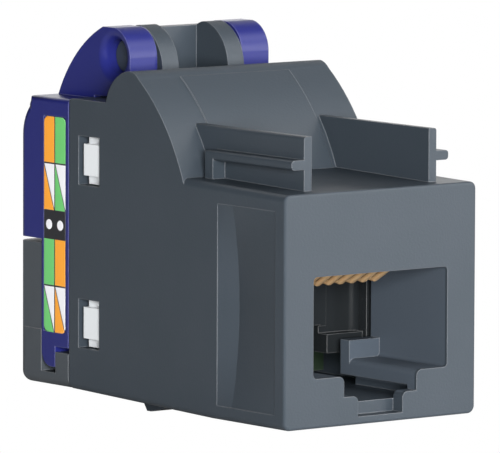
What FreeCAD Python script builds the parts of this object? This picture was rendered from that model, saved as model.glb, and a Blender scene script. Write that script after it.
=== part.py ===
"""Tool-less keystone jack: a moulded port housing with a hinged wire cap.

X runs across the jack, Y from the front face towards the cable, Z up. Every
height below is measured from the underside; each piece's Placement then lowers
it by plug_axis, so the origin is the centre of the plug opening at the face.
"""
import FreeCAD
import Part
import math
import os
import re
import Sketcher

V = FreeCAD.Vector
doc = FreeCAD.newDocument("KeystoneJack")

# ---------------------------------------------------------------- driving sizes
SIZES = {
    # front housing: the outer body
    "body_width": (17.0, "outside width of housing and cap"),
    "block_height": (16.3, "height of the front block at its front edge"),
    "block_rise": (0.25, "how far its top climbs to the hood's foot"),
    "housing_depth": (24.75, "front face to the housing's rear edge"),
    "underside_rise": (0.42, "how far the underside climbs at the rear"),
    "side_wall": (1.2, "side wall thickness"),
    "floor_wall": (1.35, "floor thickness behind the throat"),
    "roof_wall": (1.3, "thickness of roof, brow and deck"),
    "plug_axis": (7.0, "height of the plug opening's centre"),
    "front_edge": (0.18, "radius round the front face"),
    "long_edge": (0.55, "radius along the underside"),
    "top_edge": (0.5, "radius along the block's upper edges"),
    "rear_edge": (0.3, "radius at the deck's rear edge"),
    # front housing: the hood behind the block
    "hood_foot": (11.55, "depth at which the hood rises from the block"),
    "hood_radius": (15.6, "radius of the hood's front face"),
    "brow_ahead": (0.9, "how far ahead of the crest the brow meets the hood face"),
    "brow_drop": (0.5, "brow edge below the crest"),
    "brow_radius": (1.6, "radius of the brow"),
    "crest_depth": (17.5, "depth of the crest line"),
    "crest_height": (23.6, "height of the crest"),
    "crest_radius": (3.0, "radius behind the crest"),
    "deck_height": (21.2, "height of the rear deck"),
    "panel_width": (9.7, "width of the raised centre panel"),
    "panel_rise": (0.12, "how far the centre panel stands proud"),
    # front housing: plug opening
    "port_width": (11.9, "width of the plug opening"),
    "port_height": (7.05, "height of the plug opening over its shoulders"),
    "port_floor": (3.45, "height of the shoulders"),
    "notch_width": (6.45, "width of the latch notch"),
    "notch_floor": (2.0, "height of the latch notch's floor"),
    "port_round": (0.3, "radius in the corners of the plug opening"),
    "shoulder_round": (0.45, "radius of the shoulders and of the notch's lip"),
    "slot_width": (3.95, "width of the latch slot in the lip"),
    "slot_floor": (0.56, "height of the latch slot's floor"),
    "lip_depth": (1.05, "thickness of the front lip under the latch"),
    "undercut_width": (9.2, "width of the room under the shoulders"),
    "undercut_top": (2.3, "height of the shoulders' underside"),
    "latch_floor": (1.45, "height of the floor behind the lip"),
    "throat_depth": (8.5, "depth of the throat that guides the plug"),
    "stop_depth": (1.0, "thickness of the plug stops at the throat's end"),
    "stop_height": (1.3, "height of the plug stops over the shoulders"),
    "spring_room": (2.7, "height of the room for the springs over the plug"),
    "spring_room_front": (1.6, "depth of that room's front wall"),
    # front housing: fins and ribs on the block
    "fin_gap": (10.4, "clear width between the fins"),
    "fin_thickness": (0.67, "fin thickness"),
    "fin_height": (3.8, "fin height over the block's front edge"),
    "fin_round": (0.22, "radius of the fins' outer upper edges"),
    "fin_front": (1.23, "depth of the fins' front end"),
    "rib_reach": (1.08, "how far the ribs stand out from the fins"),
    "rib_drop": (1.6, "rib top below the fin top"),
    "rib_thickness": (0.68, "rib thickness"),
    "rib_round": (0.25, "radius of the ribs' outer edges"),
    "rib_end": (11.0, "depth of the ribs' rear end"),
    "post_length": (0.9, "length of the post under the rib's rear end"),
    # front housing: side recesses, catch windows and panel hook
    "recess_front": (1.1, "depth at which the side recess begins"),
    "recess_ridge": (6.0, "depth at which it is deepest"),
    "recess_rear": (7.55, "depth of its rear edge"),
    "recess_low": (1.03, "height of its lower edge"),
    "recess_high": (15.12, "height of its upper edge"),
    "recess_step": (0.14, "its least depth at the ridge"),
    "recess_hollow": (0.62, "extra depth at mid height"),
    "window_front": (21.2, "depth of the catch windows' front edge"),
    "window_length": (2.45, "window length"),
    "window_height": (3.5, "window height"),
    "low_window": (3.5, "height of the lower window's sill"),
    "high_window": (15.13, "height of the upper window's sill"),
    "hook_width": (11.0, "width of the panel hook"),
    "hook_drop": (0.83, "how far the panel hook hangs down"),
    "hook_front": (15.1, "depth at which its ramp begins"),
    "hook_tip": (19.0, "depth of its tip"),
    "hook_tip_length": (0.5, "length of its tip"),
    "hook_back": (1.1, "length of the slope behind its tip"),
    # hinge
    "hinge_inset": (2.2, "hinge axis ahead of the housing's rear edge"),
    "hinge_rise": (3.0, "hinge axis above the deck"),
    "lug_gap": (4.4, "clear width between the lugs"),
    "lug_thickness": (1.45, "lug thickness"),
    "lug_reach": (2.35, "lug front ahead of the hinge axis"),
    "lug_top": (2.1, "lug top above the hinge axis"),
    "lug_radius": (3.2, "radius of the lug's nose"),
    "web_thickness": (0.85, "wall that ties the lugs together"),
    "web_top": (1.8, "top of that wall above the hinge axis"),
    "pin_radius": (1.15, "hinge stub radius"),
    "pin_length": (1.5, "hinge stub length"),
    "pin_clearance": (0.06, "radial clearance of the hinge"),
    "ear_clearance": (0.15, "side clearance between lug and ear"),
    "ear_thickness": (2.42, "ear thickness"),
    "ear_front": (1.9, "ear front ahead of the hinge axis"),
    "ear_radius": (2.05, "radius of the ear's nose"),
    "ear_gap": (0.1, "gap between ear and deck"),
    "ear_crown": (1.3, "length of the ear's flat top behind the hinge axis"),
    "ear_back": (6.6, "foot of the ear's back behind the hinge axis"),
    "ear_arch": (10.5, "radius of the ear's arched back"),
    "ear_mouth": (1.85, "radius of the hole's dished mouth"),
    # contact carrier, circuit board and springs
    "fit_gap": (0.08, "gap round the inner pieces that drop in"),
    "side_gap": (0.25, "gap between inner pieces and the side walls"),
    "carrier_setback": (0.6, "carrier behind the throat's end"),
    "carrier_floor": (3.65, "height of the carrier's feet"),
    "ledge_top": (5.0, "height of the ledges under the plug nose"),
    "ledge_front": (0.45, "ledge behind the carrier's front"),
    "latch_room": (5.7, "width of the carrier's room for the plug's latch"),
    "latch_room_top": (5.6, "height of that room"),
    "carrier_top": (14.4, "height of the carrier's roof"),
    "nose_room": (1.45, "depth of the carrier's room for the plug nose"),
    "nose_round": (0.6, "radius in the rear corners of that room"),
    "nose_pad": (6.8, "width of the pad that stops the plug nose"),
    "nose_pad_rise": (0.2, "thickness of that pad"),
    "comb_plate": (0.5, "thickness of the plate over the springs"),
    "comb_tooth": (0.36, "thickness of the comb's teeth"),
    "comb_length": (2.3, "length of the comb's teeth"),
    "contact_pitch": (1.02, "pitch of the springs"),
    "contact_width": (0.46, "width of a spring strip"),
    "contact_thickness": (0.36, "thickness of a spring strip"),
    "contact_coin": (0.1, "broken edge of a spring strip"),
    "contact_rise": (1.05, "springs' long leg above the plug opening"),
    "contact_bend": (0.5, "radius of the springs' front bend"),
    "contact_front": (3.15, "depth of that bend's centre"),
    "contact_slope": (30.0, "slope of the springs' free arm in degrees"),
    "contact_arm": (2.6, "length of the sloping arm"),
    "contact_tail": (1.9, "length of the free tail"),
    "board_thickness": (1.4, "circuit board thickness"),
    # termination block and its forks
    "block_inset": (1.15, "termination block's rear face ahead of the housing's rear edge"),
    "block_length": (6.92, "length of the termination block"),
    "cell_height": (3.34, "height of one wire position on the label"),
    "label_band": (2.1, "height of the label's middle band"),
    "label_top": (19.77, "height of the label's upper edge"),
    "label_front": (25.2, "depth of the label's front edge"),
    "label_length": (2.6, "label length"),
    "label_thickness": (0.1, "label thickness"),
    "label_round": (0.5, "radius of the label's corners"),
    "channel_height": (1.7, "height of a wire channel"),
    "channel_depth": (3.4, "depth of a wire channel"),
    "core_width": (8.6, "width of the block's open core"),
    "core_depth": (4.6, "depth of the block's open core"),
    "core_low": (2.9, "floor of the open core"),
    "fork_inset": (1.15, "fork centre in from the block's side"),
    "fork_thickness": (0.4, "fork thickness"),
    "fork_height": (2.0, "fork height"),
    "fork_length": (5.7, "fork length"),
    "fork_slot": (0.36, "gap between the fork's tines"),
    "fork_slot_length": (3.0, "length of that gap"),
    "catch_height": (2.25, "height of a catch"),
    "catch_rise": (0.07, "catch centre above the window's centre"),
    "catch_length": (1.96, "length of a catch"),
    "catch_inset": (0.15, "catch face below the side face"),
    "catch_foot": (1.8, "length of the catch's foot"),
    "catch_foot_inset": (0.5, "foot face below the side face"),
    # wire cap and rear shell
    "cap_gap": (0.12, "gap between housing and cap"),
    "cap_end": (30.85, "depth of the cap's rear face"),
    "corner_round": (0.8, "radius of the upright rear corners of cap and shell"),
    "cap_top": (21.08, "height of the cap's roof"),
    "cap_slope": (1.15, "how far the cap's roof edge leans in"),
    "cap_slope_drop": (2.9, "height of that leaning edge"),
    "cap_brow": (0.4, "height of the corner over it"),
    "cap_edge": (0.35, "radius of the roof's long edges"),
    "cap_split": (10.9, "height at which cap and shell meet"),
    "cap_wall": (1.6, "cap wall thickness"),
    "apron_end": (28.05, "depth of the cap's lower part"),
    "apron_wall": (1.3, "thickness of the lower part's rear wall"),
    "tongue_front": (26.45, "depth of the tongues' front face"),
    "tongue_foot": (1.8, "height of the tongues' lower end"),
    "tongue_round": (1.1, "radius of the tongues' rear corner"),
    "apron_foot": (3.3, "height of the cap's lower front edge"),
    "pusher_length": (5.4, "length of a wire pusher"),
    "pusher_height": (0.8, "height of a wire pusher"),
    "pusher_width": (0.6, "width of a wire pusher"),
    "pusher_gap": (0.9, "gap between a pair of pushers"),
    "cable_radius": (4.2, "radius of the cable entry"),
    "shell_gap": (0.05, "gap between cap and shell"),
    "shell_foot": (0.4, "height of the shell's underside"),
    "shell_floor": (1.0, "thickness of the shell's floor"),
    "shell_split": (0.3, "gap between cap and shell at the split"),
    "tab_height": (2.9, "height of the shell's front lip"),
    "column_foot": (4.4, "height at which the corner columns begin"),
    "column_inset": (0.06, "how far the columns stand in"),
    "shell_round": (0.8, "radius of the shell's lower rear edge"),
}

# Places that follow from the sizes above.
PLACES = {
    "half_width": "body_width / 2",
    "inner_half": "body_width / 2 - side_wall",
    "piece_half": "body_width / 2 - side_wall - side_gap",
    "brow_depth": "crest_depth - brow_ahead",
    "hollow_foot": "hood_foot + 0.75 * roof_wall",
    "hollow_brow": "hood_foot + (brow_depth - hood_foot) * (deck_height - roof_wall - block_height)"
                   " / (crest_height - brow_drop - block_height) + 0.65 * roof_wall",
    "port_top": "port_floor + port_height",
    "room_top": "port_floor + port_height + spring_room",
    "stop_top": "port_floor + stop_height",
    "fin_outer": "fin_gap / 2 + fin_thickness",
    "fin_top": "block_height + fin_height",
    "rib_top": "block_height + fin_height - rib_drop",
    "hinge_depth": "housing_depth - hinge_inset",
    "hinge_height": "deck_height + hinge_rise",
    "lug_outer": "lug_gap / 2 + lug_thickness",
    "ear_inner": "lug_gap / 2 + lug_thickness + ear_clearance",
    "ear_outer": "lug_gap / 2 + lug_thickness + ear_clearance + ear_thickness",
    "hook_rear": "hook_tip + hook_tip_length + hook_back",
    "leg_height": "port_floor + port_height + contact_rise",
    "fork_offset": "body_width / 2 - side_wall - side_gap - fork_inset",
    "ear_sweep": "hinge_rise - ear_gap",
    "carrier_front": "throat_depth + carrier_setback",
    "nose_end": "carrier_front + nose_room",
    "block_end": "housing_depth - block_inset",
    "board_depth": "max(block_end - block_length - fit_gap - board_thickness; hollow_brow + fit_gap)",
    "board_rear": "board_depth + board_thickness",
    "block_front": "board_rear + fit_gap",
    "carrier_rear": "board_depth - fit_gap",
    "board_low": "floor_wall + side_gap",
    "board_top": "deck_height - roof_wall - 0.7",
    "block_top": "deck_height - roof_wall - side_gap - 0.15",
    "cap_front": "housing_depth + cap_gap",
    "wire_row_1": "label_top - cell_height / 2",
    "wire_row_2": "label_top - 1.5 * cell_height",
    "wire_row_3": "label_top - 2.5 * cell_height - label_band",
    "wire_row_4": "label_top - 3.5 * cell_height - label_band",
    "label_low": "label_top - 4 * cell_height - label_band",
    "shell_top": "cap_split - shell_split",
    "cable_axis": "cap_split - shell_split / 2",
    "cap_inside": "body_width / 2 - cap_wall",
    "cap_slope_radius": "(cap_slope^2 + (cap_slope_drop - cap_brow)^2) / 2 / cap_slope",
}

sheet = doc.addObject("Spreadsheet::Sheet", "Sizes")
for row, (name, (number, meaning)) in enumerate(SIZES.items(), 1):
    sheet.set(f"A{row}", name)
    sheet.set(f"B{row}", str(number))
    sheet.setAlias(f"B{row}", name)
    sheet.set(f"C{row}", meaning)
doc.recompute()


# ------------------------------------------------------------ modelling helpers
def bind(formula):
    """Turn a formula in plain size names into an expression on the sheet's cells."""
    def cell(word):
        name = word.group(0)
        if name in PLACES:
            return f"({bind(PLACES[name])})"
        return f"Sizes.{name}" if name in SIZES else name
    return re.sub(r"[a-z]\w+", cell, str(formula))


def value(formula):
    """The number that a formula gives now."""
    return float(sheet.evalExpression(bind(formula)))


def new_body(label):
    """A body whose placement brings the plug axis to Z = 0."""
    body = doc.addObject("PartDesign::Body", label)
    body.Label = label
    body.setExpression("Placement.Base.z", bind("-plug_axis"))
    return body


def plane(body, role):
    """One of the body's own origin planes."""
    return next(item for item in body.Origin.OriginFeatures if item.Role == role)


def corner(x, y, radius=None, turn=1):
    """A corner of an outline; with a radius, the way to the next corner is an arc.

    turn is 1 for an arc that turns left on its way and -1 for one that turns right.
    """
    return str(x), str(y), radius, turn


def box(x0, x1, y0, y1):
    """The four corners of a rectangle."""
    return [corner(x0, y0), corner(x1, y0), corner(x1, y1), corner(x0, y1)]


def arc_edge(start, end, radius, turn):
    """The short arc from start to end, as a counter-clockwise sketch arc."""
    chord = end - start
    half = chord.Length / 2
    rise = math.sqrt(max(radius ** 2 - half ** 2, 0)) * turn
    centre = (start + end) / 2 + V(-chord.y, chord.x, 0) / chord.Length * rise
    first, last = (start, end) if turn > 0 else (end, start)
    angles = [math.atan2(point.y - centre.y, point.x - centre.x) for point in (first, last)]
    return Part.ArcOfCircle(Part.Circle(centre, V(0, 0, 1), radius), *angles)


def draw(body, facing, offset, loops, closed=True):
    """A sketch on an origin plane, every corner held by expressions.

    facing is side (sketch plane Y-Z at X = offset), front (X-Z at Y = offset) or
    top (X-Y at Z = offset). A loop is a list of corners, or (x, y, radius) for a circle.
    """
    role, sign = {"side": ("YZ_Plane", ""), "front": ("XZ_Plane", "-"), "top": ("XY_Plane", "")}[facing]
    sketch = body.newObject("Sketcher::SketchObject", f"{body.Label}_outline")
    sketch.AttachmentSupport = (plane(body, role), "")
    sketch.MapMode = "FlatFace"
    sketch.setExpression("AttachmentOffset.Base.z", bind(f"{sign}({offset})"))
    rules = []
    formulas = {}

    def hold(kind, where, formula):
        if kind != "Radius" and abs(value(formula)) < 1e-9:
            axis = -2 if kind == "DistanceX" else -1
            rules.append(Sketcher.Constraint("PointOnObject", *where, axis))
            return
        formulas[len(rules)] = bind(formula)
        first = () if kind == "Radius" else (-1, 1)
        rules.append(Sketcher.Constraint(kind, *first, *where, value(formula)))

    for loop in loops:
        if isinstance(loop, tuple):
            x, y, radius = loop
            circle = Part.Circle(V(value(x), value(y), 0), V(0, 0, 1), value(radius))
            index = sketch.addGeometry(circle, False)
            hold("DistanceX", (index, 3), x)
            hold("DistanceY", (index, 3), y)
            hold("Radius", (index,), radius)
            continue
        points = [V(value(x), value(y), 0) for x, y, radius, turn in loop]
        count = len(loop) if closed else len(loop) - 1
        ends = []
        for step in range(count):
            start, end = points[step], points[(step + 1) % len(loop)]
            x, y, radius, turn = loop[step]
            if radius is None:
                index = sketch.addGeometry(Part.LineSegment(start, end), False)
                ends.append((index, 1, 2))
            else:
                index = sketch.addGeometry(arc_edge(start, end, value(radius), turn), False)
                ends.append((index, 1, 2) if turn > 0 else (index, 2, 1))
                hold("Radius", (index,), radius)
            hold("DistanceX", (index, ends[-1][1]), x)
            hold("DistanceY", (index, ends[-1][1]), y)
        for step in range(count - (not closed)):
            here, there = ends[step], ends[(step + 1) % count]
            rules.append(Sketcher.Constraint("Coincident", here[0], here[2], there[0], there[1]))
        if not closed:
            hold("DistanceX", (ends[-1][0], ends[-1][2]), loop[-1][0])
            hold("DistanceY", (ends[-1][0], ends[-1][2]), loop[-1][1])
    sketch.addConstraint(rules)
    for index, formula in formulas.items():
        sketch.setExpression(f"Constraints[{index}]", formula)
    return sketch


def extrude(body, kind, facing, loops, start, end):
    """Pad or Pocket the loops from start to end along the axis the sketch faces."""
    sketch = draw(body, facing, start, loops)
    feature = body.newObject(f"PartDesign::{kind}", f"{body.Label}_{kind.lower()}")
    feature.Profile = sketch
    feature.Reversed = (kind == "Pad") == (facing == "front")
    feature.setExpression("Length", bind(f"({end}) - ({start})"))
    sketch.Visibility = False
    return feature


def pad(body, facing, loops, start, end):
    return extrude(body, "Pad", facing, loops, start, end)


def pocket(body, facing, loops, start, end):
    return extrude(body, "Pocket", facing, loops, start, end)


def mirror(body, features):
    """Repeat features on the other side of the middle plane."""
    feature = body.newObject("PartDesign::Mirrored", f"{body.Label}_mirrored")
    feature.Originals = features
    feature.MirrorPlane = (plane(body, "YZ_Plane"), [""])
    body.Tip = feature
    return feature


def edges_at(body, points):
    """Names of the edges that pass through the given points, listed as formulas."""
    doc.recompute()
    shape = body.Tip.Shape
    spots = [Part.Vertex(value(x), value(y), value(z)) for x, y, z in points]
    return [
        f"Edge{index}" for index, edge in enumerate(shape.Edges, 1)
        if any(edge.distToShape(spot)[0] < 0.01 for spot in spots)
    ]


def dress(body, kind, points, size_name):
    """Fillet or Chamfer the edges that pass through the given points."""
    base = body.Tip
    names = edges_at(body, points)
    feature = body.newObject(f"PartDesign::{kind}", f"{body.Label}_{kind.lower()}")
    feature.Base = (base, names)
    feature.setExpression("Radius" if kind == "Fillet" else "Size", bind(size_name))
    return feature


def both_sides(*points):
    """The given points and their mirror images."""
    return [(sign + f"({x})", y, z) for x, y, z in points for sign in ("", "-")]


# ---------------------------------------------------------------- front housing
def port_outline(shoulder):
    """The plug opening: a wide upper part over a narrower latch notch."""
    return [
        corner("-port_width / 2", "port_top"),
        corner("-port_width / 2", shoulder),
        corner("-notch_width / 2", shoulder),
        corner("-notch_width / 2", "notch_floor"),
        corner("notch_width / 2", "notch_floor"),
        corner("notch_width / 2", shoulder),
        corner("port_width / 2", shoulder),
        corner("port_width / 2", "port_top"),
    ]


def make_front_housing():
    """One moulding: block, hood, fins, lugs and hook outside; throat and room inside."""
    body = new_body("front_housing")
    deck_end = "crest_depth + sqrt(crest_radius^2 - (deck_height - crest_height + crest_radius)^2)"
    pad(body, "side", [[
        corner(0, 0),
        corner("throat_depth", 0),
        corner("housing_depth", "underside_rise"),
        corner("housing_depth", "deck_height - rear_edge", "rear_edge", 1),
        corner("housing_depth - rear_edge", "deck_height"),
        corner(deck_end, "deck_height", "crest_radius", 1),
        corner("crest_depth", "crest_height", "brow_radius", 1),
        corner("brow_depth", "crest_height - brow_drop", "hood_radius", 1),
        corner("hood_foot", "block_height + block_rise"),
        corner(0, "block_height"),
    ]], "-half_width", "half_width")
    pad(body, "side", [[
        corner("brow_depth - panel_rise / 2", "crest_height - brow_drop + panel_rise / 2",
               "hood_radius + panel_rise", 1),
        corner("hood_foot - panel_rise", "block_height + block_rise"),
        corner("hood_foot - panel_rise", "block_height"),
        corner("crest_depth", "block_height"),
        corner("crest_depth", "crest_height - brow_drop"),
    ]], "-panel_width / 2", "panel_width / 2")
    fins = [
        pad(body, "side", [box("fin_front", "hood_foot + fin_height", "block_height - 0.3", "fin_top")],
            "fin_gap / 2", "fin_outer"),
        pad(body, "side", [box("fin_front", "rib_end", "rib_top - rib_thickness", "rib_top")],
            "fin_outer - 0.1", "fin_outer + rib_reach"),
        pad(body, "side", [box("rib_end - post_length", "rib_end", "block_height - 0.3", "rib_top")],
            "fin_outer - 0.1", "fin_outer + rib_reach"),
        pad(body, "side", [[
            corner("hinge_depth - lug_reach", "deck_height - 0.8"),
            corner("housing_depth", "deck_height - 0.8"),
            corner("housing_depth", "hinge_height + web_top"),
            corner("housing_depth - web_thickness", "hinge_height + web_top", "lug_radius / 2", 1),
            corner("hinge_depth + 0.3", "hinge_height + lug_top", "lug_radius", 1),
            corner("hinge_depth - lug_reach", "hinge_height - 1"),
        ]], "lug_gap / 2", "lug_outer"),
        pad(body, "side", [("hinge_depth", "hinge_height", "pin_radius")],
            "lug_outer - 0.1", "lug_outer + pin_length"),
    ]
    mirror(body, fins)
    pad(body, "side", [box("housing_depth - web_thickness", "housing_depth",
                           "deck_height - 0.8", "hinge_height + web_top")],
        "-lug_gap / 2 - 0.1", "lug_gap / 2 + 0.1")
    pad(body, "side", [[
        corner("hook_front", "floor_wall / 2"),
        corner("hook_front", "0.1"),
        corner("hook_tip", "-hook_drop"),
        corner("hook_tip + hook_tip_length", "-hook_drop"),
        corner("hook_rear", "floor_wall / 2"),
    ]], "-hook_width / 2", "hook_width / 2")
    pocket(body, "side", [[
        corner("throat_depth", "floor_wall"),
        corner("housing_depth + 1", "floor_wall"),
        corner("housing_depth + 1", "deck_height - roof_wall"),
        corner("hollow_brow", "deck_height - roof_wall"),
        corner("hollow_foot", "block_height - roof_wall"),
        corner("throat_depth", "block_height - roof_wall"),
    ]], "-inner_half", "inner_half")
    pocket(body, "front", [port_outline("port_floor")], "0", "throat_depth - stop_depth")
    pocket(body, "front", [port_outline("stop_top")], "throat_depth - stop_depth", "throat_depth + 0.1")
    pocket(body, "front", [box("-slot_width / 2", "slot_width / 2", "slot_floor", "notch_floor + 0.1")],
           "0", "lip_depth")
    pocket(body, "front", [box("-undercut_width / 2", "undercut_width / 2", "latch_floor", "undercut_top")],
           "lip_depth", "throat_depth + 0.1")
    pocket(body, "front", [box("-port_width / 2", "port_width / 2", "port_top - 0.1", "room_top")],
           "spring_room_front", "throat_depth + 0.1")
    window_end = "window_front + window_length"
    pocket(body, "side", [
        box("window_front", window_end, "low_window", "low_window + window_height"),
        box("window_front", window_end, "high_window", "high_window + window_height"),
    ], "-half_width - 1", "half_width + 1")
    mirror(body, [side_recess(body)])
    dress(body, "Fillet", both_sides(
        ("half_width", "throat_depth / 2", 0),
        ("half_width", "(throat_depth + housing_depth) / 2", "underside_rise / 2")), "long_edge")
    dress(body, "Fillet", both_sides(("half_width", "hood_foot / 2", "block_height + block_rise / 2")), "top_edge")
    dress(body, "Fillet", [
        (0, 0, "block_height"), (0, 0, 0), ("-half_width", 0, "block_height / 2"),
        ("half_width", 0, "block_height / 2"),
    ], "front_edge")
    dress(body, "Fillet", both_sides(("port_width / 2", "spring_room_front / 2", "port_top"),
                                     ("port_width / 2", "throat_depth / 2", "port_floor")), "port_round")
    dress(body, "Fillet", both_sides(("notch_width / 2", "throat_depth / 2", "port_floor"),
                                     ("slot_width / 2", "lip_depth / 2", "notch_floor")), "shoulder_round")
    dress(body, "Fillet", both_sides(("fin_outer", "rib_end / 2", "fin_top")), "fin_round")
    dress(body, "Fillet", both_sides(("fin_outer + rib_reach", "rib_end / 2", "rib_top"),
                                     ("fin_outer + rib_reach", "rib_end / 2", "rib_top - rib_thickness")),
          "rib_round")
    return body


def side_recess(body):
    """A shallow scoop in the side: deepest at its ridge, and deeper at mid height."""
    sections = []
    for depth, step, hollow in (("recess_front", "0.02", "0.02"),
                                ("recess_ridge", "recess_step", "recess_hollow"),
                                ("recess_rear", "0.02", "0.02")):
        floor = f"half_width - {step}"
        height = "(recess_high - recess_low)"
        radius = f"({height}^2 / 4 + ({hollow})^2) / 2 / ({hollow})"
        sections.append(draw(body, "front", depth, [[
            corner("half_width + 0.5", "recess_low"),
            corner("half_width + 0.5", "recess_high"),
            corner(floor, "recess_high", radius, 1),
            corner(floor, "recess_low"),
        ]]))
    loft = body.newObject("PartDesign::SubtractiveLoft", "side_recess")
    loft.Profile = sections[0]
    loft.Sections = sections[1:]
    loft.Ruled = True
    return loft


# ------------------------------------------------------------- inside the front
def make_contact_carrier():
    """The insert that guides the springs: a comb over the plug and a nose room behind it."""
    body = new_body("contact_carrier")
    pad(body, "side", [box("carrier_front", "carrier_rear", "carrier_floor", "carrier_top")],
        "-piece_half", "piece_half")
    roof = "room_top - fit_gap"
    comb_front = "spring_room_front + fit_gap"
    comb_half = "port_width / 2 - fit_gap"
    pad(body, "side", [box(comb_front, "carrier_front + 0.2", f"{roof} - comb_plate", roof)],
        f"-({comb_half})", comb_half)
    tooth = pad(body, "top", [box("-4 * contact_pitch - comb_tooth / 2", "-4 * contact_pitch + comb_tooth / 2",
                                  comb_front, f"{comb_front} + comb_length")],
                "port_top + 0.2", f"{roof} - comb_plate / 2")
    comb = body.newObject("PartDesign::LinearPattern", "comb_teeth")
    comb.Originals = [tooth]
    comb.Direction = (tooth.Profile[0], ["H_Axis"])
    comb.setExpression("Length", bind("8 * contact_pitch"))
    comb.Occurrences = 9
    body.Tip = comb
    room_half = "port_width / 2 + 0.1"
    pocket(body, "front", [box(f"-({room_half})", room_half, "ledge_top", "port_top")],
           "carrier_front - 0.1", "nose_end")
    dress(body, "Fillet", both_sides((room_half, "nose_end", "(ledge_top + port_top) / 2")), "nose_round")
    pocket(body, "front", [box(f"-({room_half})", room_half, "carrier_floor - 0.1", "ledge_top + 0.1")],
           "carrier_front - 0.1", "carrier_front + ledge_front")
    pad(body, "front", [box("-nose_pad / 2", "nose_pad / 2", "latch_room_top - 0.1", "port_top + 0.1")],
        "nose_end - nose_pad_rise", "nose_end + 0.1")
    pocket(body, "front", [box("-latch_room / 2", "latch_room / 2", "carrier_floor - 0.1", "latch_room_top")],
           "carrier_front - 0.1", "carrier_rear + 0.1")
    pocket(body, "front", [box("-4.4 * contact_pitch", "4.4 * contact_pitch",
                               "leg_height - contact_thickness / 2 - fit_gap", f"{roof} - comb_plate")],
           "carrier_front - 0.1", "carrier_rear + 0.1")
    return body


def make_contact(number):
    """One gold-plated spring strip: a long leg, a front bend, a sloping arm and a tail."""
    body = new_body(f"contact_{number}")
    across = f"({number} - 4.5) * contact_pitch"
    bend_end = ("contact_front + contact_bend * cos((90 + 180 - contact_slope) * 1 deg)",
                "leg_height - contact_bend + contact_bend * sin((90 + 180 - contact_slope) * 1 deg)")
    arm_end = (f"{bend_end[0]} + contact_arm * cos(contact_slope * 1 deg)",
               f"{bend_end[1]} - contact_arm * sin(contact_slope * 1 deg)")
    path = draw(body, "side", across, [[
        corner("carrier_rear", "leg_height"),
        corner("contact_front", "leg_height", "contact_bend", 1),
        corner(*bend_end),
        corner(*arm_end),
        corner(f"{arm_end[0]} + contact_tail", f"{arm_end[1]} + contact_tail / 8"),
    ]], closed=False)
    coined = "contact_coin"
    section = draw(body, "front", "carrier_rear", [[
        corner(f"{across} {x}", f"leg_height {z}") for x, z in (
            (f"- contact_width / 2 + {coined}", "- contact_thickness / 2"),
            (f"+ contact_width / 2 - {coined}", "- contact_thickness / 2"),
            ("+ contact_width / 2", f"- contact_thickness / 2 + {coined}"),
            ("+ contact_width / 2", f"+ contact_thickness / 2 - {coined}"),
            (f"+ contact_width / 2 - {coined}", "+ contact_thickness / 2"),
            (f"- contact_width / 2 + {coined}", "+ contact_thickness / 2"),
            ("- contact_width / 2", f"+ contact_thickness / 2 - {coined}"),
            ("- contact_width / 2", f"- contact_thickness / 2 + {coined}"),
        )
    ]])
    pipe = body.newObject("PartDesign::AdditivePipe", f"contact_{number}_strip")
    pipe.Profile = section
    pipe.Spine = (path, [])
    pipe.Transition = "Right corner"
    return body


def make_circuit_board():
    """The board that links springs and forks."""
    body = new_body("circuit_board")
    pad(body, "front", [box("-piece_half", "piece_half", "board_low", "board_top")],
        "board_depth", "board_rear")
    return body


WIRE_ROWS = ("wire_row_1", "wire_row_2", "wire_row_3", "wire_row_4")


def make_termination_block():
    """The white block that holds the forks, with four catches for the windows."""
    body = new_body("termination_block")
    pad(body, "side", [box("block_front", "block_end", "board_low", "block_top")],
        "-piece_half", "piece_half")
    pocket(body, "front", [box("-core_width / 2", "core_width / 2", "core_low", "block_top - 1.2")],
           "block_end - core_depth", "block_end + 0.1")
    channels = []
    sockets = []
    for height in WIRE_ROWS:
        channels.append(box("-half_width", "half_width",
                            f"{height} - channel_height / 2", f"{height} + channel_height / 2"))
        for sign in ("-", ""):
            near = f"{sign}(fork_offset - fork_thickness / 2 - fit_gap)"
            far = f"{sign}(fork_offset + fork_thickness / 2 + fit_gap)"
            low = f"{height} - fork_height / 2 - fit_gap"
            high = f"{height} + fork_height / 2 + fit_gap"
            sockets.append(box(far, near, low, high) if sign else box(near, far, low, high))
    pocket(body, "front", channels, "block_end - channel_depth", "block_end + 0.1")
    pocket(body, "front", sockets, "block_front - 0.1", "block_end + 0.1")
    catches = []
    for sill in ("low_window", "high_window"):
        middle = f"{sill} + window_height / 2 + catch_rise"
        catches.append(pad(body, "side", [box(
            "window_front + fit_gap", "window_front + fit_gap + catch_length",
            f"{middle} - catch_height / 2", f"{middle} + catch_height / 2")],
            "piece_half - 0.1", "half_width - catch_inset"))
        catches.append(pad(body, "side", [box(
            "window_front + fit_gap", "window_front + fit_gap + catch_foot",
            f"{sill} + fit_gap", f"{sill} + window_height - fit_gap")],
            "piece_half - 0.1", "half_width - catch_foot_inset"))
    mirror(body, catches)
    return body


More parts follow.
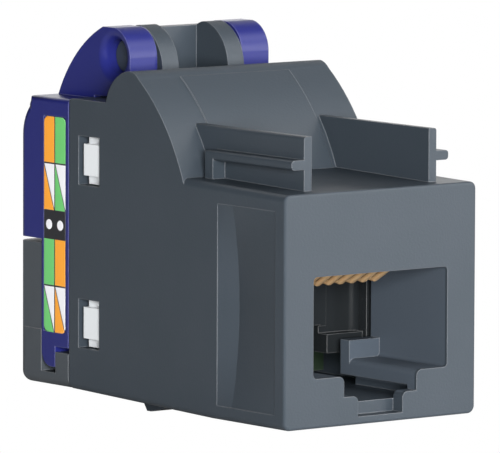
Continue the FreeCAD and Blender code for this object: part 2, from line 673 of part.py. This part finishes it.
def make_fork(side, sign, row):
    """One insulation-displacement fork: a stamped plate with a wire slot."""
    body = new_body(f"{side}_fork_{row}")
    middle = f"wire_row_{row}"
    tip = "board_rear + fork_length"
    start = f"{sign}fork_offset - fork_thickness / 2"
    pad(body, "side", [[
        corner("board_rear", f"{middle} - fork_height / 2"),
        corner(tip, f"{middle} - fork_height / 2"),
        corner(tip, f"{middle} - 1.6 * fork_slot"),
        corner(f"{tip} - 1.2 * fork_slot", f"{middle} - fork_slot / 2"),
        corner(f"{tip} - fork_slot_length", f"{middle} - fork_slot / 2", "fork_slot / 2 + 0.001", -1),
        corner(f"{tip} - fork_slot_length", f"{middle} + fork_slot / 2"),
        corner(f"{tip} - 1.2 * fork_slot", f"{middle} + fork_slot / 2"),
        corner(tip, f"{middle} + 1.6 * fork_slot"),
        corner(tip, f"{middle} + fork_height / 2"),
        corner("board_rear", f"{middle} + fork_height / 2"),
    ]], start, f"{start} + fork_thickness")
    return body


# --------------------------------------------------------------- hinged wire cap
def make_wire_cap():
    """The blue cap: two ears on the hinge, a body that holds the wires, two tongues."""
    body = new_body("wire_cap")
    pad(body, "side", [[
        corner("cap_front", "apron_foot"),
        corner("tongue_front", "apron_foot"),
        corner("tongue_front", "tongue_foot"),
        corner("apron_end - tongue_round", "tongue_foot", "tongue_round", 1),
        corner("apron_end", "tongue_foot + tongue_round"),
        corner("apron_end", "cap_split"),
        corner("cap_end", "cap_split"),
        corner("cap_end", "cap_top - cap_slope_drop", "cap_slope_radius", 1),
        corner("cap_end - cap_slope", "cap_top - cap_brow", "1.4 * cap_brow", 1),
        corner("cap_end - cap_slope - cap_brow", "cap_top"),
        corner("cap_front", "cap_top"),
    ]], "-half_width", "half_width")
    drop = "sqrt(ear_sweep^2 - ear_front^2)"
    ear = pad(body, "side", [[
        corner("hinge_depth", "hinge_height + ear_radius", "ear_radius + 0.1", 1),
        corner("hinge_depth - ear_front", "hinge_height"),
        corner("hinge_depth - ear_front", f"hinge_height - {drop}", "ear_sweep", 1),
        corner("hinge_depth", "hinge_height - ear_sweep"),
        corner("cap_front", "deck_height + ear_gap"),
        corner("cap_front", "cap_top - 0.4"),
        corner("hinge_depth + ear_back", "cap_top - 0.4"),
        corner("hinge_depth + ear_back", "cap_top", "ear_arch", 1),
        corner("hinge_depth + ear_crown", "hinge_height + ear_radius"),
    ]], "ear_inner", "ear_outer")
    mirror(body, [ear])
    dress(body, "Fillet", both_sides(("half_width", "cap_end", "(cap_split + cap_top - cap_slope_drop) / 2")),
          "corner_round")
    dress(body, "Fillet", both_sides(("half_width", "(cap_front + cap_end) / 2", "cap_top")), "cap_edge")
    pocket(body, "side", [box("cap_front - 0.1", "cap_end - cap_wall", "cap_split - 0.1", "cap_top - cap_wall")],
           "-cap_inside", "cap_inside")
    pocket(body, "side", [box("cap_front - 0.1", "apron_end - apron_wall", "tongue_foot - 0.1", "cap_split")],
           "-cap_inside", "cap_inside")
    pocket(body, "side", [box("cap_front - 0.1", "apron_end + 0.1", "tongue_foot - 0.1", "column_foot")],
           "-cap_inside", "cap_inside")
    pushers = []
    for row, height in enumerate(WIRE_ROWS):
        tip = "block_end - 2.2"
        root = "cap_end - cap_wall / 2" if row < 2 else "apron_end - apron_wall / 2"
        for offset in ("-pusher_gap / 2 - pusher_width", "pusher_gap / 2"):
            pushers.append(pad(body, "side", [box(
                tip, root, f"{height} - pusher_height / 2", f"{height} + pusher_height / 2")],
                f"fork_offset + {offset}", f"fork_offset + {offset} + pusher_width"))
    mirror(body, pushers)
    pocket(body, "front", [("0", "cable_axis", "cable_radius")], "apron_end - 2 * cap_wall", "cap_end + 0.1")
    pocket(body, "side", [("hinge_depth", "hinge_height", "pin_radius + pin_clearance")],
           "-ear_outer - 0.1", "ear_outer + 0.1")
    dress(body, "Fillet", both_sides(("ear_outer", "hinge_depth + pin_radius + pin_clearance", "hinge_height")),
          "ear_mouth - pin_radius - pin_clearance")
    recess = pocket(body, "side", [box("label_front", "label_front + label_length", "label_low", "label_top")],
                    "half_width - label_thickness - 0.02", "half_width + 0.1")
    mirror(body, [recess])
    return body


def make_rear_shell():
    """The grey shell: floor, rear wall with rounded corner columns, and a front lip."""
    body = new_body("rear_shell")
    front = "cap_front"
    inner = "apron_end + shell_gap"
    pad(body, "side", [[
        corner(front, "shell_foot"),
        corner("cap_end", "shell_foot"),
        corner("cap_end", "shell_top"),
        corner(inner, "shell_top"),
        corner(inner, "shell_foot + shell_floor"),
        corner("tongue_front - shell_gap", "shell_foot + shell_floor"),
        corner("tongue_front - shell_gap", "tab_height"),
        corner(front, "tab_height"),
    ]], "-half_width", "half_width")
    pocket(body, "front", [("0", "cable_axis", "cable_radius")], "apron_end - 1", "cap_end + 0.1")
    dress(body, "Fillet", both_sides(("half_width", "cap_end", "(shell_foot + shell_top) / 2")), "corner_round")
    dress(body, "Fillet", [(0, "cap_end", "shell_foot")], "shell_round")
    slice_cut = pocket(body, "side", [box("apron_end - 0.5", "cap_end + 0.1", "column_foot", "shell_top + 0.1")],
                       "half_width - column_inset", "half_width + 0.1")
    mirror(body, [slice_cut])
    return body


def make_label(side, start):
    """The colour-code label on one side of the cap."""
    body = new_body(f"{side}_label")
    end = "label_front + label_length"
    pad(body, "side", [box("label_front + 0.03", f"{end} - 0.03", "label_low + 0.03", "label_top - 0.03")],
        start, f"{start} + label_thickness")
    dress(body, "Fillet", [
        (f"{start} + label_thickness / 2", depth, height)
        for depth in ("label_front + 0.03", f"{end} - 0.03")
        for height in ("label_low + 0.03", "label_top - 0.03")
    ], "label_round")
    return body


# ------------------------------------------------------------------- build, save
pieces = [make_front_housing(), make_contact_carrier(), make_circuit_board(), make_termination_block()]
pieces += [make_contact(number) for number in range(1, 9)]
for side, sign in (("left", "-"), ("right", "")):
    pieces += [make_fork(side, sign, row) for row in range(1, 5)]
pieces += [make_wire_cap(), make_rear_shell()]
pieces += [make_label("left", "-half_width"), make_label("right", "half_width - label_thickness")]

doc.recompute()
for item in doc.Objects:
    if "Invalid" in item.State or "Error" in item.State:
        raise RuntimeError(f"{item.Label} did not compute: {item.State}")
os.makedirs("parts", exist_ok=True)
for piece in pieces:
    shape = piece.Shape
    if shape.isNull() or not shape.isValid() or len(shape.Solids) != 1:
        raise RuntimeError(f"{piece.Label} is not one sound solid: {len(shape.Solids)}")
    shape.exportStep(f"parts/{piece.Label}.step")
    limits = shape.BoundBox
    print(f"{piece.Label:18s} {shape.Volume:9.2f} mm3  "
          f"X {limits.XMin:.2f}..{limits.XMax:.2f}  Y {limits.YMin:.2f}..{limits.YMax:.2f}  "
          f"Z {limits.ZMin:.2f}..{limits.ZMax:.2f}")
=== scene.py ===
"""Looks of the keystone jack: materials, labels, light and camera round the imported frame."""

import math

import bmesh
import bpy
from mathutils import Matrix, Vector


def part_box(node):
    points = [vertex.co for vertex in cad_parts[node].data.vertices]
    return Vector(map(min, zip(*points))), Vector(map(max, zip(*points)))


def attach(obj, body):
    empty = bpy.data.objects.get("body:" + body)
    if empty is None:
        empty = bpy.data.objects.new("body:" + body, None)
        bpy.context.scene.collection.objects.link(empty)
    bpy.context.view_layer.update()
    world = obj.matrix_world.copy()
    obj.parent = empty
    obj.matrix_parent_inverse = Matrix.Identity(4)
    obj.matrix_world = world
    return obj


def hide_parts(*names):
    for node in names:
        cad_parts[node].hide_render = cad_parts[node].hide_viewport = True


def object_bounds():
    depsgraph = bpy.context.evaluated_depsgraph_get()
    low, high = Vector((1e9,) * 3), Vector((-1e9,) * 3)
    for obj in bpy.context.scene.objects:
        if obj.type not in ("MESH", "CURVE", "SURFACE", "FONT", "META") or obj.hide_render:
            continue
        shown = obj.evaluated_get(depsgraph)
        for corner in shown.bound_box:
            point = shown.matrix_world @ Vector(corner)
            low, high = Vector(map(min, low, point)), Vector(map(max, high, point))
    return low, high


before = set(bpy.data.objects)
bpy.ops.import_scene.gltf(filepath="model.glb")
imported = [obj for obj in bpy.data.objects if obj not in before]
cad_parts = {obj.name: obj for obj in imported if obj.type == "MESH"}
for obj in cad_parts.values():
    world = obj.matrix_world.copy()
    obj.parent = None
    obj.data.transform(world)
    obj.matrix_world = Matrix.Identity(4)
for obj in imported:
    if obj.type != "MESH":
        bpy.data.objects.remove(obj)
cad_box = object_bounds()
MM = 0.001

# ------------------------------------------------------------------ camera
# A long lens at a left-hand three-quarter angle, a little above the object.
# Its axes are given directly, so the small roll is kept.
azimuth, elevation, roll = (math.radians(a) for a in (37.973, 6.084, 0.224))
stand = Vector((-0.320079, -0.395313, 0.060826))
back = Vector((-math.sin(azimuth) * math.cos(elevation),
               -math.cos(azimuth) * math.cos(elevation),
               math.sin(elevation)))
right = Vector((math.cos(azimuth), -math.sin(azimuth), 0))
up = back.cross(right)
camera = bpy.data.objects.new("camera", bpy.data.cameras.new("camera"))
camera.data.sensor_width = 36
camera.data.lens = 532.8
camera.data.clip_end = 5
turn = Matrix((right, up, back)).transposed().to_4x4() @ Matrix.Rotation(roll, 4, "Z")
camera.matrix_world = Matrix.Translation(stand) @ turn
bpy.context.scene.collection.objects.link(camera)
bpy.context.scene.camera = camera

# -------------------------------------------------------------- floor and world
# A pale floor that looks plain white to the camera and still throws soft light up.
# The world is mid grey for light and reflections, and white behind the object.


def new_nodes(owner):
    """The owner's emptied node tree."""
    owner.use_nodes = True
    owner.node_tree.nodes.clear()
    return owner.node_tree


def add(tree, kind, settings=None, **sockets):
    """A node of that kind. A socket gets a number, a colour or another node's output."""
    node = tree.nodes.new(kind)
    for name, given in (settings or {}).items():
        setattr(node, name, given)
    for name, given in sockets.items():
        socket = node.inputs[int(name[1:])] if name[1:].isdigit() else node.inputs[name.replace("_", " ")]
        if isinstance(given, bpy.types.NodeSocket):
            tree.links.new(given, socket)
        else:
            socket.default_value = given
    return node


def linear(hex_code):
    """Scene-linear colour of an sRGB hex code."""
    parts = [int(hex_code[i:i + 2], 16) / 255 for i in (1, 3, 5)]
    parts = [p / 12.92 if p <= 0.04045 else ((p + 0.055) / 1.055) ** 2.4 for p in parts]
    return (*parts, 1)


mid_depth = 0.015
bpy.ops.mesh.primitive_plane_add(size=1.2, location=(0, mid_depth, cad_box[0][2]))
floor = bpy.context.object
floor.name = "floor"
paint = bpy.data.materials.new("floor_white")
tree = new_nodes(paint)
seen = add(tree, "ShaderNodeLightPath").outputs["Is Camera Ray"]
plain = add(tree, "ShaderNodeBsdfDiffuse", Color=(0.62, 0.62, 0.62, 1)).outputs[0]
white = add(tree, "ShaderNodeEmission", Color=(1, 1, 1, 1), Strength=1).outputs[0]
mixed = add(tree, "ShaderNodeMixShader", _0=seen, _1=plain, _2=white).outputs[0]
add(tree, "ShaderNodeOutputMaterial", Surface=mixed)
floor.data.materials.append(paint)

world = bpy.data.worlds.new("world")
bpy.context.scene.world = world
tree = new_nodes(world)
seen = add(tree, "ShaderNodeLightPath").outputs["Is Camera Ray"]
grey = add(tree, "ShaderNodeBackground", Color=linear("#b0b4b8"), Strength=0.06).outputs[0]
white = add(tree, "ShaderNodeBackground", Color=(1, 1, 1, 1), Strength=1).outputs[0]
mixed = add(tree, "ShaderNodeMixShader", _0=seen, _1=grey, _2=white).outputs[0]
add(tree, "ShaderNodeOutputWorld", Surface=mixed)
bpy.context.scene.view_settings.view_transform = "Standard"


# The key stands low on the left and gives most of the light. The others lift the
# front, the top, the rear and the right side, and the backdrop shows as a sheen.
light_distance = 0.55


def softbox(name, turn, rise, size, power, glare=True):
    """A square area light that faces the object, turned from the front to the left and raised, in degrees.
    Without glare it lights the surfaces and leaves no mirror image on them."""
    light = bpy.data.lights.new(name, "AREA")
    light.size = size
    light.energy = power
    lamp = bpy.data.objects.new(name, light)
    lamp.visible_camera = False
    lamp.visible_glossy = glare
    turn, rise = math.radians(turn), math.radians(rise)
    towards = Vector((-math.sin(turn) * math.cos(rise), -math.cos(turn) * math.cos(rise), math.sin(rise)))
    place = Vector((0, mid_depth, 0.004)) + light_distance * towards
    lamp.matrix_world = Matrix.Translation(place) @ towards.to_track_quat("Z", "Y").to_matrix().to_4x4()
    bpy.context.scene.collection.objects.link(lamp)


softbox("key", 30, 5, 0.22, 6.7, glare=False)
softbox("front_right", -37, 6, 0.24, 0.9)
softbox("front_top", -15, 32, 0.3, 1.25)
softbox("right_top", -60, 35, 0.24, 0.45)
softbox("backdrop", -142, 6, 0.34, 0.65)
softbox("rear", -165, 35, 0.34, 0.3)
softbox("right", -112, 22, 0.34, 0.6)

# ------------------------------------------------------------- front housing
# One grey ABS moulding that holds everything else: plug opening, fins, hood and hinge lugs.
# A spark-eroded mould gives it a fine satin grain, and its edges come out slightly
# rounded and shinier, with their colour lifted as a painted highlight. The walls of the plug
# opening are painted lighter: painted light for the light that reaches into it.
# The grain is drawn 0.18 mm wide, coarser than the real one, so that it shows at all.


def within(tree, place, low, high):
    """1 for places inside the box between low and high, in millimetres, and 0 outside it."""
    centre = (Vector(low) + Vector(high)) * MM / 2
    half = (Vector(high) - Vector(low)) * MM / 2
    away = add(tree, "ShaderNodeVectorMath", {"operation": "SUBTRACT"}, _0=place, _1=centre).outputs[0]
    away = add(tree, "ShaderNodeVectorMath", {"operation": "ABSOLUTE"}, _0=away).outputs[0]
    away = add(tree, "ShaderNodeVectorMath", {"operation": "SUBTRACT"}, _0=away, _1=half).outputs[0]
    x, y, z = add(tree, "ShaderNodeSeparateXYZ", Vector=away).outputs
    most = add(tree, "ShaderNodeMath", {"operation": "MAXIMUM"}, _0=x, _1=y).outputs[0]
    most = add(tree, "ShaderNodeMath", {"operation": "MAXIMUM"}, _0=most, _1=z).outputs[0]
    return add(tree, "ShaderNodeMath", {"operation": "LESS_THAN"}, _0=most, _1=0).outputs[0]


def moulded(name, colour, cloud, roughness, grain, painted_light_box=None):
    """Moulded plastic with faint flow clouds 4.5 mm across, a fine grain and soft, glossier edges
    whose colour is lifted as a painted highlight. Inside the box the colour is lighter, as painted light."""
    cloud_scale, grain_scale, pit_depth = 0.22 / MM, 5.5 / MM, 0.02 * MM
    edge_radius, edge_roughness, edge_highlight_lift, painted_light_lift = 0.1 * MM, 0.12, 0.13, 1.55
    material = bpy.data.materials.new(name)
    tree = new_nodes(material)
    place = add(tree, "ShaderNodeTexCoord").outputs["Object"]
    clouds = add(tree, "ShaderNodeTexNoise", Vector=place, Scale=cloud_scale, Detail=3.0).outputs["Fac"]
    tint = add(tree, "ShaderNodeMixRGB", Fac=clouds, Color1=linear(colour), Color2=linear(cloud)).outputs[0]
    # Painted light: inside the box the colour is lifted, standing for light that reaches into the plug
    # opening.
    if painted_light_box:
        painted_light_colour = (*(painted_light_lift * c for c in linear(colour)[:3]), 1)
        inside = within(tree, place, *painted_light_box)
        tint = add(tree, "ShaderNodeMixRGB", Fac=inside, Color1=tint, Color2=painted_light_colour).outputs[0]
    # The edges are where the rounded normal leaves the face's own.
    rounded = add(tree, "ShaderNodeBevel", {"samples": 6}, Radius=edge_radius).outputs[0]
    flat = add(tree, "ShaderNodeNewGeometry").outputs["Normal"]
    alike = add(tree, "ShaderNodeVectorMath", {"operation": "DOT_PRODUCT"}, _0=rounded, _1=flat)
    alike = alike.outputs["Value"]
    rim = add(tree, "ShaderNodeMapRange", Value=alike, From_Min=0.99, From_Max=0.8).outputs[0]
    # Painted highlight: the edges' colour is lifted, standing for the bright lines that light draws along
    # them.
    edge_highlight_colour = (*(c + edge_highlight_lift for c in linear(colour)[:3]), 1)
    tint = add(tree, "ShaderNodeMixRGB", Fac=rim, Color1=tint, Color2=edge_highlight_colour).outputs[0]
    sheen = add(tree, "ShaderNodeMapRange", Value=clouds, To_Min=roughness - 0.05, To_Max=roughness + 0.05)
    gloss = add(tree, "ShaderNodeMapRange", Value=rim, To_Min=sheen.outputs[0], To_Max=edge_roughness)
    fine = add(tree, "ShaderNodeTexNoise", Vector=place, Scale=grain_scale, Detail=2.0).outputs["Fac"]
    bump = add(tree, "ShaderNodeBump", Height=fine, Strength=grain, Distance=pit_depth, Normal=rounded)
    surface = add(tree, "ShaderNodeBsdfPrincipled", Base_Color=tint, Roughness=gloss.outputs[0],
                  Normal=bump.outputs[0])
    add(tree, "ShaderNodeOutputMaterial", Surface=surface.outputs[0])
    return material


def finish_node(node, material):
    """Put the material on a CAD node."""
    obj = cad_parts[node]
    obj.data.materials.clear()
    obj.data.materials.append(material)


# The box of the plug opening, whose walls get painted light.
port_painted_light_box = ((-6, 0.25, -5.1), (6, 14, 4.7))
grey_abs = moulded("moulded_abs_grey", "#3c434b", "#384047", 0.45, 0.5, painted_light_box=port_painted_light_box)
finish_node("front_housing", grey_abs)

# ----------------------------------------------------------- contact carrier
# A nearly black insert of glass-filled PBT, pushed in behind the plug opening. It guides
# the springs. Its flat faces are smooth enough to mirror the light in soft bands.
black_pbt = moulded("moulded_pbt_black", "#232628", "#1f2224", 0.22, 0.3)
finish_node("contact_carrier", black_pbt)

# ------------------------------------------------------------------ springs
# Eight bronze strips, coined and gold-plated, with their roots in the carrier. Rolling
# leaves fine streaks along them, and the warm plating glints on their rounded edges.


def plated(name, colour, dark, roughness, metal):
    """Plated strip: fine streaks along Y, where it was rolled, and rounded edges."""
    streak_scale, streak_stretch, edge_radius = 6.0 / MM, (1, 0.1, 1), 0.1 * MM
    material = bpy.data.materials.new(name)
    tree = new_nodes(material)
    place = add(tree, "ShaderNodeTexCoord").outputs["Object"]
    drawn = add(tree, "ShaderNodeMapping", Vector=place, Scale=streak_stretch).outputs[0]
    streaks = add(tree, "ShaderNodeTexNoise", Vector=drawn, Scale=streak_scale, Detail=2.0).outputs["Fac"]
    tint = add(tree, "ShaderNodeMixRGB", Fac=streaks, Color1=linear(colour), Color2=linear(dark))
    sheen = add(tree, "ShaderNodeMapRange", Value=streaks, To_Min=roughness - 0.05, To_Max=roughness + 0.08)
    rounded = add(tree, "ShaderNodeBevel", {"samples": 6}, Radius=edge_radius).outputs[0]
    surface = add(tree, "ShaderNodeBsdfPrincipled", Base_Color=tint.outputs[0], Metallic=metal,
                  Roughness=sheen.outputs[0], Normal=rounded)
    add(tree, "ShaderNodeOutputMaterial", Surface=surface.outputs[0])
    return material


gold_plating = plated("gold_plated_bronze", "#ffe6b4", "#ffbe82", 0.22, 0.5)
for number in range(1, 9):
    finish_node(f"contact_{number}", gold_plating)

# ------------------------------------------------------------------- board
# A glass-fibre board under green solder mask, standing behind the opening. It joins the
# springs to the forks, and the mask gives it a dark, fairly glossy green.
solder_mask = moulded("solder_mask_green", "#2c3a2c", "#303f2f", 0.3, 0.2)
finish_node("circuit_board", solder_mask)

# ------------------------------------------------- termination block and forks
# A white polycarbonate block whose four catches snap into the housing's side windows.
# Eight punched and tin-plated forks stand in it and cut through the wires' insulation.
white_polycarbonate = moulded("moulded_polycarbonate_white", "#e8ebed", "#e1e5e8", 0.35, 0.15)
finish_node("termination_block", white_polycarbonate)
tin_plating = plated("tin_plated_bronze", "#c9c6bf", "#b3b0a8", 0.3, 1.0)
for side in ("left", "right"):
    for row in range(1, 5):
        finish_node(f"{side}_fork_{row}", tin_plating)

# ------------------------------------------------------------------ wire cap
# One blue ABS moulding from a polished mould, glossier than the housing, that swings on the
# hinge lugs. This copy of it has the roof's rear edge and corners rounded like the upright
# corners below, so the leaning rear wall runs into the roof without a lip.
blue_abs = moulded("moulded_abs_blue", "#23286f", "#212568", 0.36, 0.15)
hair = 0.0005 * MM
brow, lean, lean_drop, corner_round = 0.4 * MM, 1.15 * MM, 2.9 * MM, 0.8 * MM
fade_climb, fade_inset, fade_slope, least_round = 1.82 * MM, 1.53 * MM, 0.18, 0.05 * MM
bm = bmesh.new()
bm.from_mesh(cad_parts["wire_cap"].data)
bmesh.ops.remove_doubles(bm, verts=bm.verts, dist=hair)
cap_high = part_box("wire_cap")[1]
roof = max(v.co.z for v in bm.verts if v.co.y > cap_high.y - lean - 1.02 * brow)
lean_radius = (lean ** 2 + (lean_drop - brow) ** 2) / 2 / lean

# More edges across the rear corners, for the curve to follow.
cuts = [((way * (cap_high.x - inset * MM), 0, 0), (1, 0, 0))
        for inset in (0.8, 0.6, 0.43, 0.28, 0.15, 0.05) for way in (-1, 1)]
cuts += [((0, 0, roof - drop * MM), (0, 0, 1))
         for drop in (0.03, 0.1, 0.2, 0.3, 0.4, 0.6, 0.9, 1.3, 1.8, 2.3)]
for spot, normal in cuts:
    rear = [f for f in bm.faces if max(v.co.y for v in f.verts) > cap_high.y - 2.2 * MM]
    touched = set(rear) | {e for f in rear for e in f.edges} | {v for f in rear for v in f.verts}
    bmesh.ops.bisect_plane(bm, geom=list(touched), plane_co=spot, plane_no=normal, dist=hair)

# The wall leans in on one arc and the brow on a second. The corner's round shrinks up the fade.
for v in bm.verts:
    climb = v.co.z - (roof - lean_drop)
    if not 0 < climb < lean_drop + 0.03 * MM:
        continue
    over = climb - (lean_drop - brow)
    if over > 0:
        wall = cap_high.y - lean - brow + math.sqrt(max(brow ** 2 - over ** 2, 0))
    else:
        wall = cap_high.y - lean_radius + math.sqrt(lean_radius ** 2 - climb ** 2)
    curve = corner_round
    if climb > fade_climb:
        side_end = cap_high.y - fade_inset - fade_slope * (climb - fade_climb)
        curve = max(wall - side_end, least_round)
    aside = abs(v.co.x) - (cap_high.x - curve)
    if aside > 0:
        wall -= curve - math.sqrt(max(curve ** 2 - aside ** 2, 0))
    v.co.y = min(v.co.y, wall)
cap = bpy.data.objects.new("cap_moulding", bpy.data.meshes.new("cap_moulding"))
bm.to_mesh(cap.data)
bm.free()
cap.data.materials.append(blue_abs)
bpy.context.scene.collection.objects.link(cap)
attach(cap, "cap")
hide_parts("wire_cap")

# ---------------------------------------------------------------- rear shell
# A grey ABS moulding that the blue cap's tongues clip into, round the lower half of the
# cable entry. It is moulded a shade lighter than the housing, with the same satin grain.
light_abs = moulded("moulded_abs_light_grey", "#4a4f54", "#464b50", 0.5, 0.5)
finish_node("rear_shell", light_abs)

# ------------------------------------------------------------------ labels
# Polyester film, printed and glued to the cap's sides: a dark base with ink fields on it.
# The inks lie flat and slightly glossy. Two fields of a column are cut by a diagonal, and
# plain dots fill the middle band.
ink = {name: moulded(f"printed_film_{name}", code, code, 0.3, 0.05) for name, code in {
    "dark": "#26272b", "white": "#f6f6fa", "orange": "#ffa936", "green": "#70cc74",
    "blue": "#3f7fd0", "brown": "#8a5a3c"}.items()}
slots = list(ink)


def printed_label(side, columns):
    """One label. columns lists (upper colour, lower colour) from the rear column to the front one."""
    low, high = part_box(f"{side}_label")
    outward = -1 if side == "left" else 1
    face = (low if side == "left" else high).x
    cell, band, line, curve = 3.34 * MM, 2.1 * MM, 0.055 * MM, 0.5 * MM
    film, sunk, proud, diagonal = 0.1 * MM, 0.02 * MM, 0.006 * MM, 0.088 * MM
    dot_radius = 0.36 * MM
    mesh = bpy.data.meshes.new(f"{side}_label_print")
    for name in slots:
        mesh.materials.append(ink[name])
    bm = bmesh.new()

    def add_shape(shape, name):
        """The finished shape, in that ink, joins the label."""
        bmesh.ops.recalc_face_normals(shape, faces=shape.faces)
        for f in shape.faces:
            f.material_index = slots.index(name)
        scrap = bpy.data.meshes.new("scrap")
        shape.to_mesh(scrap)
        shape.free()
        bm.from_mesh(scrap)
        bpy.data.meshes.remove(scrap)

    def plate(spans, inner, outer, name, radius=0, corners=(), cut=None):
        """A flat plate over the spans of Y and Z. The named corners are rounded, and what lies
        past the cut, a place and a direction, is taken off."""
        shape = bmesh.new()
        bmesh.ops.create_cube(shape, size=1)
        (y0, y1), (z0, z1) = spans
        centre = Vector(((inner + outer) / 2, (y0 + y1) / 2, (z0 + z1) / 2))
        bmesh.ops.scale(shape, vec=(abs(outer - inner), y1 - y0, z1 - z0), verts=shape.verts)
        bmesh.ops.translate(shape, vec=centre, verts=shape.verts)
        across = [e for e in shape.edges if (e.verts[0].co - e.verts[1].co).yz.length < hair]
        round_off = [e for e in across if tuple(c > 0 for c in (e.verts[0].co - centre).yz) in corners]
        bmesh.ops.bevel(shape, geom=round_off, offset=radius, offset_type="OFFSET", affect="EDGES",
                        segments=6, profile=0.5, material=-1)
        if cut:
            made = bmesh.ops.bisect_plane(shape, geom=shape.verts[:] + shape.edges[:] + shape.faces[:],
                                          plane_co=cut[0], plane_no=cut[1], clear_outer=True, dist=hair / 10)
            rim = [e for e in made["geom_cut"] if isinstance(e, bmesh.types.BMEdge)]
            bmesh.ops.contextual_create(shape, geom=rim)
        add_shape(shape, name)

    rear_top, front_top, rear_foot, front_foot = (True, True), (False, True), (True, False), (False, False)
    every = (rear_top, front_top, rear_foot, front_foot)
    plate(((low.y, high.y), (low.z, high.z)), face - outward * film, face, "dark", curve, every)

    def field(spans, name, corners=(), cut=None):
        """A field of ink that stands a hair proud of the film."""
        plate(spans, face - outward * sunk, face + outward * proud, name, curve - line, corners, cut)

    middle = (low.y + high.y) / 2
    for column, colours in enumerate(columns):
        y0, y1 = (middle + line, high.y) if column == 0 else (low.y, middle - line)
        top_corner, foot_corner = (rear_top, rear_foot) if column == 0 else (front_top, front_foot)
        for block, name in enumerate(colours):
            z1 = high.z - block * (2 * cell + band)
            z0 = z1 - cell
            field(((y0, y1), (z0 + line, z1)), name, () if block else (top_corner,))
            # The lower cell: this colour behind a diagonal, white in front of it.
            z1, z0 = z0 - line, z0 - cell
            to_rear = Vector((0, z1 - z0, y0 - y1)).normalized()
            for way, half_name in ((1, name), (-1, "white")):
                cut = (Vector((face, y1, z1)) + way * to_rear * diagonal / 2, -way * to_rear)
                field(((y0, y1), (z0, z1)), half_name, (foot_corner,) if block else (), cut)
        dot = bmesh.new()
        place = Vector((face + outward * (proud - sunk) / 2, (y0 + y1) / 2, high.z - 2 * cell - band / 2))
        facing_out = Matrix.Translation(place) @ Matrix.Rotation(math.pi / 2, 4, "Y")
        bmesh.ops.create_cone(dot, cap_ends=True, segments=20, radius1=dot_radius, radius2=dot_radius,
                              depth=proud + sunk, matrix=facing_out)
        add_shape(dot, "white")
    bm.to_mesh(mesh)
    bm.free()
    obj = bpy.data.objects.new(f"{side}_label_print", mesh)
    bpy.context.scene.collection.objects.link(obj)
    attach(obj, "cap")
    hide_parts(f"{side}_label")


printed_label("left", (("orange", "green"), ("green", "orange")))
printed_label("right", (("blue", "brown"), ("blue", "brown")))
